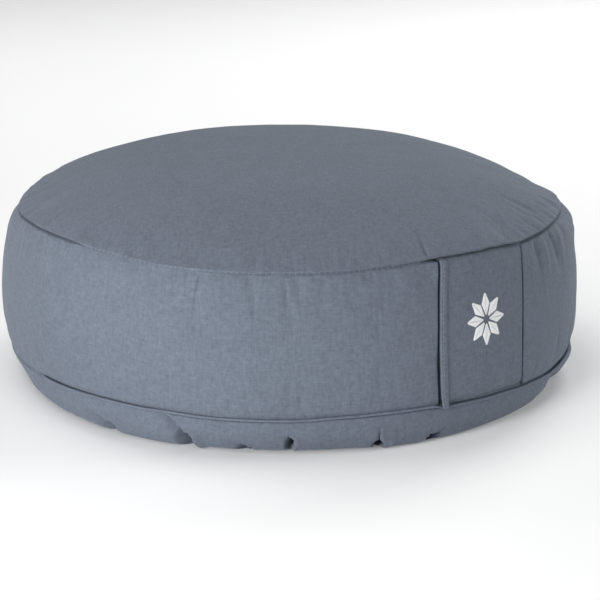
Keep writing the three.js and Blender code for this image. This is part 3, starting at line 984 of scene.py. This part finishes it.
def sewn_details(item):
    """Moves the fine mesh to the seams' gaps, the folds, the pleats and the puckers."""
    creases = [Crease(*row) for row in CREASES]
    mesh = item.data
    normals = [v.normal.copy() for v in mesh.vertices]
    for vertex, normal in zip(mesh.vertices, normals):
        point = vertex.co / MM
        turn = turn_of(point)
        sector = Sector(turn)
        panel = panel_of(point, sector)
        radius = math.hypot(point.x, point.y)
        if panel == "base":
            point.z = 0.0
            vertex.co = point * MM
            continue
        inwards = left = 0.0
        if panel == "crown":
            from_top = math.hypot(point.z - sector.top, TOP_RADIUS - SEAM_INSET - radius)
            up = radius
        else:
            from_top = sector.top - point.z
            up = point.z
        share = (point.z - sector.low - LOW_LIP) / (sector.top - sector.low - LOW_LIP - TOP_LIP)
        from_hem = turn - bowed(HEM_EDGE, share)
        from_sewn = turn - bowed(SEWN_EDGE, share)
        under = panel == "band" and from_hem > -0.1 and from_sewn < -0.3
        if panel != "skirt":
            depth, width = blended(TOP_GAPS, turn)
            inwards += seam_gap(from_top, depth, width)
            if from_top < TOP_PUCKER_END and not under:
                stitch, longer = blended(TOP_PUCKERS, turn)
                inwards += pucker(
                    turn, from_top, stitch, longer, TOP_RADIUS, TOP_PUCKER_REACH
                )
        if panel != "crown":
            from_low = point.z - sector.low
            middle, half, depth, _, _ = blended(LOW_GAPS, turn)
            inwards += depth * max(0.0, 1 - (abs(from_low - middle) / half) ** 3)
            if abs(from_low) < LOW_PUCKER_END and not under:
                inwards += pucker(
                    turn, abs(from_low), LOW_STITCH, LOW_PUCKER, LOW_PUCKER_RADIUS,
                    LOW_PUCKER_REACH,
                )
        if panel == "band":
            inwards += placket_seams(from_hem, from_sewn, share)
        drawn, left = crease_moves(creases, panel, turn, up)
        if not under:
            inwards += drawn
        if panel != "skirt" or point.z > RESTING_HEIGHT:
            inwards += sum(depth * noise.noise(point / wave) for depth, wave in UNEVEN)
        point -= normal * inwards
        if panel == "skirt":
            deep, right = hollow_move(turn, up)
            point -= around(deep, turn, 0.0)
            left -= right
        if left:
            angle = math.radians(turn)
            point -= Vector((math.cos(angle), math.sin(angle), 0)) * left
        point.z = min(max(point.z, 0.0), SUMMIT_HEIGHT)
        vertex.co = point * MM
    mesh.update()


def flat_place(centre, point):
    """The place on the flat cloth, in metres: the band unrolled, the round panels from above."""
    turn = turn_of(centre)
    sector = Sector(turn)
    panel = panel_of(centre, sector)
    if panel == "band":
        return (math.radians(turn_near(point, turn)) * LOW_RADIUS * MM, point.z * MM)
    if panel in ("crown", "base"):
        return (point.x * MM, point.y * MM)
    radius = math.hypot(point.x, point.y)
    out = sector.floor + math.hypot(radius - sector.floor, point.z)
    return (point.x / radius * out * MM, point.y / radius * out * MM)


def make_cushion():
    """The padded cover: pressed out by its filling, then sewn, creased and puckered."""
    sizes = bpy.context.scene.cushion_sizes
    item, rings = round_grid("filled_cushion_cloth")
    fill_with_pressure(item, rings, sizes)
    smooth_once(item)
    close_poles(item)
    set_uv(item, flat_place)
    sewn_details(item)
    finish_piece(item, materials()["cotton twill"])
    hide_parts("filled_cushion")


# The strip in the lower seam


def strip_middle(turn):
    """Radius and height of the middle of the strip's roll, in mm."""
    *_, rise, out = blended(LOW_GAPS, turn)
    sunk = 0.25 * noise.noise(around(LOW_RADIUS, turn, 0) / 28)
    return LOW_RADIUS + out - sunk, Sector(turn).low + rise


def make_strip():
    """A roll of cloth that follows the lower seam, rippled by its stitches."""
    deselect_all()
    major, minor = LOW_RADIUS * MM, bpy.context.scene.cushion_sizes.strip_radius
    bpy.ops.mesh.primitive_torus_add(
        major_segments=256, minor_segments=5, major_radius=major, minor_radius=minor
    )
    item = new_piece("lower_seam_roll")
    smooth_once(item)
    smooth_once(item)
    for vertex in item.data.vertices:
        place = vertex.co
        turn = turn_of(place)
        side = math.atan2(place.z, place.xy.length - major)
        radius, height = strip_middle(turn)
        along = math.radians(turn) * LOW_RADIUS
        ring = around(LOW_RADIUS, turn, 0) / 14
        size = minor / MM * (1 + 0.14 * noise.noise(ring) - 0.12 * math.cos(along * 1.7))
        out, up = size * math.cos(side), size * math.sin(side)
        vertex.co = around(radius + out, turn, height + up) * MM

    def along_roll(centre, point):
        turn = turn_of(centre)
        radius, height = strip_middle(turn)
        side = math.atan2(point.z - height, math.hypot(point.x, point.y) - radius)
        return (math.radians(turn_near(point, turn)) * LOW_RADIUS * MM, side * MM)

    set_uv(item, along_roll)
    finish_piece(item, materials()["rolled strip"])
    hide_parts("lower_seam_welt")


# The placket

HEM_WIDTH = 3.3
CLOTH_THICKNESS = 1.1
UNDER_LAYER = CLOTH_THICKNESS / 2
UPPER_LAYER = 1.9
TURN_RADIUS = (UPPER_LAYER - UNDER_LAYER) / 2
PLACKET_ROWS = 44
PLACKET_RADIUS = LOW_RADIUS + 4
PLACKET_HEIGHT = 0.095
FOLD_GAP = 0.13
STRETCHED_FROM = 10.0
BAND_CLEARANCE = 0.35

# The topstitching's lines, in mm from the fold, how deep and how wide each dents the cloth, and
# how far the cloth puffs out between them
STITCH_LINES = (1.2, 3.8)
STITCH_DENT, DENT_HALF = 0.28, 0.42
HEM_PUFF, PUFF_HALF = 0.2, 0.9

# The cloth's columns: in mm from the fold, then even ones, then in mm from the sewn edge
TURN_COLUMNS = 7
HEM_COLUMNS = (0.9, 1.05, 1.2, 1.4, 1.7, 2.2, 2.8, 3.3, 3.6, 3.8, 4.05, 4.4, 4.9, 5.8, 8.0)
EVEN_COLUMNS, EVEN_END = 24, 2.4
EDGE_COLUMNS = (1.5, 0.9, 0.5, 0.2, 0.0)

# The sewn edge and the top are tucked in. At its foot the hem stands out over the strip and hangs
# lower, and the single cloth goes in and up.
EDGE_TUCK_FROM, EDGE_TUCK = 1.0, 1.2
TOP_TUCK_SHARE, TOP_TUCK = 0.025, 1.6
FOOT_SHARE, HEM_OUT, HEM_DOWN, CLOTH_IN, CLOTH_UP = 0.05, 2.3, 2.9, 1.0, 0.4


def placket_section():
    """Across the placket: mm from its fold, and how far the cloth's middle lies out."""
    section = [(HEM_WIDTH + 1 - i * 1.2, UNDER_LAYER) for i in range(5)]
    centre = (UNDER_LAYER + UPPER_LAYER) / 2
    for step in range(TURN_COLUMNS):
        angle = math.pi * (0.5 + step / (TURN_COLUMNS - 1))
        away = TURN_RADIUS + TURN_RADIUS * math.cos(angle)
        section.append((away, centre - TURN_RADIUS * math.sin(angle)))
    width = placket_width(0.5)
    first, last = HEM_COLUMNS[-1], width - EVEN_END
    columns = list(HEM_COLUMNS)
    columns += [lerp(first, last, (i + 1) / EVEN_COLUMNS) for i in range(EVEN_COLUMNS)]
    columns += [width - left for left in EDGE_COLUMNS]
    return section + [(away, None) for away in columns]


def placket_width(share):
    """The placket's width in mm at a share of its height."""
    edge = bowed(SEWN_EDGE, share) - bowed(HEM_EDGE, share) - FOLD_GAP
    return math.radians(edge) * PLACKET_RADIUS


def placket_out(away, width):
    """How far the cloth's middle lies out from what it rests on, on the upper layer."""
    out = lerp(UPPER_LAYER, UNDER_LAYER + 0.15, eased((away - HEM_WIDTH) / 1.5))
    for line in STITCH_LINES:
        out -= STITCH_DENT * bell((away - line) / DENT_HALF)
    out += HEM_PUFF * bell((away - sum(STITCH_LINES) / 2) / PUFF_HALF)
    tuck = max(0.0, away - width + EDGE_TUCK_FROM)
    return out - EDGE_TUCK * tuck * tuck


def placket_point(away, share, out=None):
    """A point of the placket: mm from its fold, share of its height, and how far out."""
    width = placket_width(share)
    if away > STRETCHED_FROM:
        along = (away - STRETCHED_FROM) / (placket_width(0.5) - STRETCHED_FROM)
        away = lerp(STRETCHED_FROM, width, along)
    if out is None:
        out = placket_out(away, width)
    turn = bowed(HEM_EDGE, share) + FOLD_GAP + math.degrees(away / PLACKET_RADIUS)
    inset = lerp(HEM_INSET, SEWN_INSET, away / width)
    on_band = band_point(turn, Sector(turn), share, out - inset + BAND_CLEARANCE)
    tucked = max(0.0, 1 - (1 - share) / TOP_TUCK_SHARE)
    reach = on_band.xy.length - TOP_TUCK * tucked * tucked
    height = on_band.z
    if share < FOOT_SHARE:
        low = 1 - share / FOOT_SHARE
        hem = 1 / (1 + math.exp((away - HEM_WIDTH - 0.9) * 3))
        reach += low * (HEM_OUT * hem - CLOTH_IN * (1 - hem) * low)
        height -= HEM_DOWN * hem * max(0.0, low - 0.2) / 0.8 - CLOTH_UP * (1 - hem) * low
    return around(reach, turn, height)


def make_placket():
    """The panel, as one cloth folded under along its left edge."""
    section = placket_section()
    deselect_all()
    columns = len(section)
    bpy.ops.mesh.primitive_grid_add(
        x_subdivisions=columns - 1, y_subdivisions=PLACKET_ROWS - 1, size=1
    )
    item = new_piece("placket")
    distance = [0.0]
    for (a, ao), (b, bo) in zip(section, section[1:]):
        lift = 0 if ao is None or bo is None else bo - ao
        distance.append(distance[-1] + math.hypot(b - a, lift))
    flat = {}
    for vertex in item.data.vertices:
        column = round((vertex.co.x + 0.5) * (columns - 1))
        row = round((vertex.co.y + 0.5) * (PLACKET_ROWS - 1))
        share = row / (PLACKET_ROWS - 1)
        share = 0.5 - 0.5 * math.copysign(abs(math.cos(math.pi * share)) ** 0.8, 0.5 - share)
        away, out = section[column]
        vertex.co = placket_point(away, share, out) * MM
        flat[vertex.index] = (distance[column] * MM, share * PLACKET_HEIGHT)
    layer = cloth_layer(item.data)
    for loop in item.data.loops:
        layer[loop.index].uv = flat[loop.vertex_index]
    make_active(item)
    bpy.ops.object.mode_set(mode="EDIT")
    bpy.ops.mesh.select_all(action="SELECT")
    bpy.ops.mesh.normals_make_consistent(inside=False)
    bpy.ops.object.mode_set(mode="OBJECT")
    add_and_apply(
        item, "Thickness", "SOLIDIFY", thickness=CLOTH_THICKNESS * MM, offset=0.0
    )
    smooth_once(item)
    finish_piece(item, materials()["placket twill"])
    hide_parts("placket_panel")
    return item


# Stitches, with how many a line of the hem has, half of what share of its height each takes, and
# how far each line's lean from side to side
HEM_STITCHES, STITCH_SHARE = 31, 0.0118
STITCH_LEANS = (0.35, 0.0)


def stitch_model(name, length, radius):
    """A thread that lies along x, with rounded ends, at the origin."""
    deselect_all()
    bpy.ops.mesh.primitive_uv_sphere_add(segments=6, ring_count=5, radius=radius)
    item = new_piece(name)
    make_active(item)
    bpy.ops.transform.rotate(value=math.pi / 2, orient_axis="Y", center_override=(0, 0, 0))
    bpy.ops.object.transform_apply(location=True, rotation=True, scale=True)
    for vertex in item.data.vertices:
        if abs(vertex.co.x) > radius * 0.2:
            vertex.co.x += math.copysign(length / 2 - radius, vertex.co.x)
    return item


def copies_joined(name, model, places):
    """Copies of a model at the places, each with its own mesh, joined in one piece."""
    copies = []
    for place in places:
        copy = model.copy()
        copy.data = model.data.copy()
        copy.data.transform(place)
        bpy.context.collection.objects.link(copy)
        copies.append(copy)
    deselect_all()
    for copy in copies:
        copy.select_set(True)
    bpy.context.view_layer.objects.active = copies[0]
    bpy.ops.object.join()
    bpy.data.objects.remove(model)
    return new_piece(name)


def lying(start, end, out, stretch):
    """The matrix that lays a thread from start to end, its top towards out. The thread's own
    length is stretch."""
    along = (end - start).normalized()
    side = out.cross(along).normalized()
    up = along.cross(side)
    turn = Matrix((along, side, up)).transposed().to_4x4()
    size = Matrix.Diagonal(((end - start).length / stretch, 1, 1, 1))
    return Matrix.Translation((start + end) / 2) @ turn @ size


def make_seam_stitches():
    """Threads that show in the top seam's gap, all round."""
    length = 1.5 * MM
    model = stitch_model("seam stitch", length, 0.2 * MM)
    count = int(2 * math.pi * TOP_RADIUS / SEAM_PITCH)
    places = []
    chance = random.Random(SEED)
    for index in range(count):
        turn = wrapped(360 * index / count)
        sector = Sector(turn)
        depth, _ = blended(TOP_GAPS, turn)
        radius = TOP_RADIUS - SEAM_INSET - 0.62 * depth
        lean = 0.25 + 0.15 * chance.random()
        low = around(radius, turn - lean / 4, sector.top - 0.7) * MM
        high = around(radius - 0.3, turn + lean / 4, sector.top + 0.7) * MM
        places.append(lying(low, high, around(1, turn, 0), length))
    item = copies_joined("top_seam_stitches", model, places)
    return finish_piece(item, materials()["seam thread"])


def make_hem_stitches():
    """The two rows of topstitching on the placket's hem."""
    length = 2.5 * MM
    model = stitch_model("hem stitch", length, 0.24 * MM)
    places = []
    for line, lean in zip(STITCH_LINES, STITCH_LEANS):
        for index in range(HEM_STITCHES):
            share = 0.012 + 0.97 * (index + 0.5) / HEM_STITCHES
            ends = [
                placket_point(line + side * lean, share + side * STITCH_SHARE)
                for side in (-1, 1)
            ]
            lean = -lean
            out = outwards_of(ends[0])
            lift = out * (CLOTH_THICKNESS / 2 + 0.1)
            start, end = ((end + lift) * MM for end in ends)
            places.append(lying(start, end, out, length))
    item = copies_joined("placket_hem_stitches", model, places)
    return finish_piece(item, materials()["seam thread"])


# The ornament: a star of eight lozenges in satin stitch

STAR_TURN, STAR_HEIGHT = 39.0, 79.0
STAR_INNER, STAR_OUTER = 2.2, 18.0
STAR_GAP = 0.45
THREAD_PITCH = 0.6
THREAD_SLANT = math.radians(62)
SHORTEST_THREAD = 0.45


def thread_length(at):
    """How far a thread runs, back at THREAD_SLANT, from a place on a lozenge's rib to its edge."""
    widest = (STAR_INNER + STAR_OUTER) / 2
    half = widest * math.tan(math.radians(22.5)) - STAR_GAP
    back, out = math.cos(THREAD_SLANT), math.sin(THREAD_SLANT)
    slope = half / (widest - STAR_INNER)
    to_tip = slope * (STAR_OUTER - at) / (out - slope * back)
    to_middle = slope * (at - STAR_INNER) / (out + slope * back)
    return min(to_tip, to_middle)


def star_threads():
    """Both ends of each thread of the star, in mm across and up from its middle."""
    threads = []
    count = int((STAR_OUTER - STAR_INNER) / THREAD_PITCH)
    for lozenge in range(8):
        angle = math.radians(lozenge * 45)
        along = Vector((math.sin(angle), math.cos(angle)))
        side = Vector((along.y, -along.x))
        for hand in (-1, 1):
            slant = side * hand * math.sin(THREAD_SLANT) - along * math.cos(THREAD_SLANT)
            for step in range(1, count):
                at = lerp(STAR_INNER, STAR_OUTER, step / count)
                length = thread_length(at)
                if length > SHORTEST_THREAD:
                    start = along * at + side * hand * 0.1
                    threads.append((start, along * at + slant * length))
    return threads


def on_placket(across, up, lift):
    """The point on the placket's face, mm across and up from the star's middle."""
    sector = Sector(STAR_TURN)
    share = (STAR_HEIGHT + up - sector.low - LOW_LIP) / (
        sector.top - TOP_LIP - sector.low - LOW_LIP
    )
    from_fold = STAR_TURN - bowed(HEM_EDGE, share) - FOLD_GAP
    away = math.radians(from_fold) * PLACKET_RADIUS + across
    point = placket_point(away, share)
    out = outwards_of(point)
    return point + out * (CLOTH_THICKNESS / 2 + lift), out


def make_star():
    """The star's threads, laid on the placket, each a little lower at its outer end."""
    length = 3.0 * MM
    model = stitch_model("satin stitch", length, 0.36 * MM)
    places = []
    for start, end in star_threads():
        first, out = on_placket(start.x, start.y, 0.16)
        last, _ = on_placket(end.x, end.y, 0.05)
        places.append(lying(first * MM, last * MM, out, length))
    item = copies_joined("placket_star", model, places)
    return finish_piece(item, materials()["ornament thread"])


# The stage

STUDIO_RADIUS = 4.0
FLOOR_RIM = ((1.06, 0.02), (1.05, 0.08), (1.04, 0.16), (1.02, 0.3), (1.01, 0.6))
CAMERA_PLACE, CAMERA_AIM = (0.0, -1.3823, 0.4657), (0.0074, 0.0, 0.0443)
SENSOR_WIDTH, LENS = 36.0, 119.24


def floor_material(look):
    """A pale, dull floor with faint clouds, which gives a little light by itself."""
    tree, shader, place = new_material("pale floor", look.floor[:])
    shader.inputs["Specular IOR Level"].default_value = 0.1
    cloud = noise_value(tree, place, 3.0, 2.0, 0.5)
    set_colour(tree, shader, look.floor[:], math_node(tree, "MULTIPLY_ADD", cloud, 0.02, 0.99))
    shader.inputs["Roughness"].default_value = 0.85
    shader.inputs["Emission Color"].default_value = (1.0, 1.0, 1.0, 1.0)
    shader.inputs["Emission Strength"].default_value = look.floor_glow


def make_floor():
    """A round floor whose rim turns up, seen as one pale surface from all sides."""
    deselect_all()
    bpy.ops.mesh.primitive_circle_add(vertices=96, radius=STUDIO_RADIUS, fill_type="NGON")
    item = new_piece("studio_floor")
    bpy.ops.object.mode_set(mode="EDIT")
    bpy.ops.mesh.select_all(action="SELECT")
    for out, up in FLOOR_RIM:
        bpy.ops.mesh.extrude_region_move(TRANSFORM_OT_translate={"value": (0, 0, up)})
        bpy.ops.transform.resize(value=(out, out, 1))
    bpy.ops.mesh.delete(type="ONLY_FACE")
    bpy.ops.object.mode_set(mode="OBJECT")
    return item


# Lamps: name, place, the point it faces, size in metres and power in watts
MIDDLE = (0, 0, 0.07)
LIGHTS = (
    ("front", (-0.436, -0.787, 0.18), MIDDLE, 0.4, 6.2),
    ("front above", (-0.5, -1.15, 1.4), MIDDLE, 0.9, 5.5),
    ("above", (-0.5, 0.35, 2.15), MIDDLE, 1.4, 15.0),
    ("right", (1.8, 0.0, 0.6), MIDDLE, 0.9, 14.5),
    ("behind", (0.901, 1.561, 1.332), MIDDLE, 1.0, 19.0),
    ("behind left", (-1.3, 1.0, 1.2), MIDDLE, 0.9, 4.5),
    ("backdrop left", (-0.8, 1.5, 1.1), (-0.8, 2.2, 0.0), 1.2, 2.2),
    ("backdrop right", (0.8, 1.5, 1.1), (0.8, 2.2, 0.0), 1.2, 2.2),
)


def turned_to(item, place, faced):
    """Adds a lamp or a camera at a place, facing a point."""
    bpy.context.collection.objects.link(item)
    item.location = place
    towards = Vector(faced) - item.location
    item.rotation_euler = towards.to_track_quat("-Z", "Y").to_euler()


def make_lights(look):
    """The soft lamps, and the pale room round them."""
    for name, place, faced, size, power in LIGHTS:
        data = bpy.data.lights.new(name, "AREA")
        data.shape, data.size, data.energy = "DISK", size, power * look.light
        turned_to(bpy.data.objects.new(name, data), place, faced)
    world = bpy.context.scene.world or bpy.data.worlds.new("studio")
    bpy.context.scene.world = world
    world.use_nodes = True
    sky = world.node_tree.nodes["Background"]
    sky.inputs["Color"].default_value = (1.0, 1.0, 1.0, 1.0)
    sky.inputs["Strength"].default_value = look.surroundings


def make_camera():
    """The camera, at the photograph's angle."""
    data = bpy.data.cameras.new("photograph view")
    data.sensor_width, data.lens = SENSOR_WIDTH, LENS
    camera = bpy.data.objects.new("photograph view", data)
    turned_to(camera, CAMERA_PLACE, CAMERA_AIM)
    bpy.context.scene.camera = camera


# The add-on


class CushionSizes(bpy.types.PropertyGroup):
    fill: FloatProperty(
        name="Fill", description="How tightly the cushion is filled", default=0.9, min=0, max=1,
        subtype="FACTOR",
    )
    pressure: FloatProperty(
        name="Pressure", description="Pressure of the filling on the cloth", default=4.0,
    )
    spare_cloth: FloatProperty(
        name="Spare cloth", description="Share of cloth eased into the seams", default=0.02,
        subtype="FACTOR",
    )
    swell_cap: FloatProperty(
        name="Swell", description="The furthest the pressure moves the cloth", default=0.0009,
        unit="LENGTH",
    )
    strip_radius: FloatProperty(
        name="Strip radius", description="Radius of the roll in the lower seam",
        default=0.00085, unit="LENGTH",
    )


class CushionLook(bpy.types.PropertyGroup):
    cloth: FloatVectorProperty(
        name="Cloth", description="Colour of the cotton twill", default=(0.118, 0.138, 0.173),
        subtype="COLOR",
    )
    strip: FloatVectorProperty(
        name="Strip", description="Colour of the rolled strip", default=(0.123, 0.145, 0.187),
        subtype="COLOR",
    )
    placket: FloatVectorProperty(
        name="Placket", description="Colour of the placket's twill",
        default=(0.118, 0.138, 0.173), subtype="COLOR",
    )
    thread: FloatVectorProperty(
        name="Thread", description="Colour of the sewing thread", default=(0.2, 0.225, 0.27),
        subtype="COLOR",
    )
    ornament: FloatVectorProperty(
        name="Ornament", description="Colour of the embroidery thread",
        default=(0.8, 0.81, 0.82), subtype="COLOR",
    )
    threads: FloatProperty(
        name="Threads", description="Threads of the weave in each metre", default=1500.0,
    )
    sheen: FloatProperty(
        name="Sheen", description="Soft fibre sheen of the cloth", default=0.15,
        subtype="FACTOR",
    )
    roughness: FloatProperty(
        name="Roughness", description="Roughness of the cloth", default=0.9, subtype="FACTOR",
    )


class StageLook(bpy.types.PropertyGroup):
    floor: FloatVectorProperty(
        name="Floor", description="Colour of the floor", default=(0.85, 0.85, 0.85),
        subtype="COLOR",
    )
    floor_glow: FloatProperty(
        name="Floor glow", description="Light that the pale floor gives by itself", default=0.1,
    )
    light: FloatProperty(
        name="Light", description="How strong all the lamps are", default=1.0,
    )
    surroundings: FloatProperty(
        name="Surroundings", description="Brightness of the pale room", default=0.1,
    )


class CUSHION_OT_filled(bpy.types.Operator):
    """Make the filled cushion with its seams, folds and puckers"""

    bl_idname = "cushion.filled"
    bl_label = "Filled cushion"

    def execute(self, context):
        make_cushion()
        return {"FINISHED"}


class CUSHION_OT_strip(bpy.types.Operator):
    """Make the rolled strip in the lower seam"""

    bl_idname = "cushion.strip"
    bl_label = "Lower seam strip"

    def execute(self, context):
        make_strip()
        return {"FINISHED"}


class CUSHION_OT_seam_stitches(bpy.types.Operator):
    """Make the threads that show in the top seam"""

    bl_idname = "cushion.seam_stitches"
    bl_label = "Seam stitches"

    def execute(self, context):
        make_seam_stitches()
        return {"FINISHED"}


class CUSHION_OT_placket(bpy.types.Operator):
    """Make the placket with its hem, its topstitching and its embroidered star"""

    bl_idname = "cushion.placket"
    bl_label = "Placket"

    def execute(self, context):
        cloth = make_placket()
        on_it = [make_hem_stitches(), make_star()]
        return {"FINISHED"}


class CUSHION_OT_stage(bpy.types.Operator):
    """Make the floor, the lamps and the camera"""

    bl_idname = "cushion.stage"
    bl_label = "Stage"

    def execute(self, context):
        look = context.scene.stage_look
        floor_material(look)
        floor = make_floor()
        floor.data.materials.append(bpy.data.materials["pale floor"])
        make_active(floor)
        bpy.ops.object.shade_smooth()
        deselect_all()
        make_lights(look)
        make_camera()
        context.scene.view_settings.view_transform = "Standard"
        return {"FINISHED"}


class CUSHION_PT_panel(bpy.types.Panel):
    """The cushion's pieces, sizes and colours"""

    bl_idname = "CUSHION_PT_panel"
    bl_label = "Meditation cushion"
    bl_space_type = "VIEW_3D"
    bl_region_type = "UI"
    bl_category = "Cushion"

    def draw(self, context):
        layout = self.layout
        for group in (
            context.scene.cushion_sizes, context.scene.cushion_look, context.scene.stage_look
        ):
            box = layout.box()
            for name in group.__annotations__:
                box.prop(group, name)
        for operator in PIECES:
            layout.operator(operator.bl_idname)


GROUPS = (
    ("cushion_sizes", CushionSizes),
    ("cushion_look", CushionLook),
    ("stage_look", StageLook),
)
PIECES = (
    CUSHION_OT_filled,
    CUSHION_OT_strip,
    CUSHION_OT_seam_stitches,
    CUSHION_OT_placket,
    CUSHION_OT_stage,
)


def register():
    for name, group in GROUPS:
        bpy.utils.register_class(group)
        setattr(bpy.types.Scene, name, PointerProperty(type=group))
    for operator in PIECES:
        bpy.utils.register_class(operator)
    bpy.utils.register_class(CUSHION_PT_panel)


def unregister():
    bpy.utils.unregister_class(CUSHION_PT_panel)
    for operator in reversed(PIECES):
        bpy.utils.unregister_class(operator)
    for name, group in reversed(GROUPS):
        delattr(bpy.types.Scene, name)
        bpy.utils.unregister_class(group)


def main():
    register()
    bpy.ops.cushion.filled()
    bpy.ops.cushion.strip()
    bpy.ops.cushion.seam_stitches()
    bpy.ops.cushion.placket()
    bpy.ops.cushion.stage()


if __name__ == "__main__":
    main()
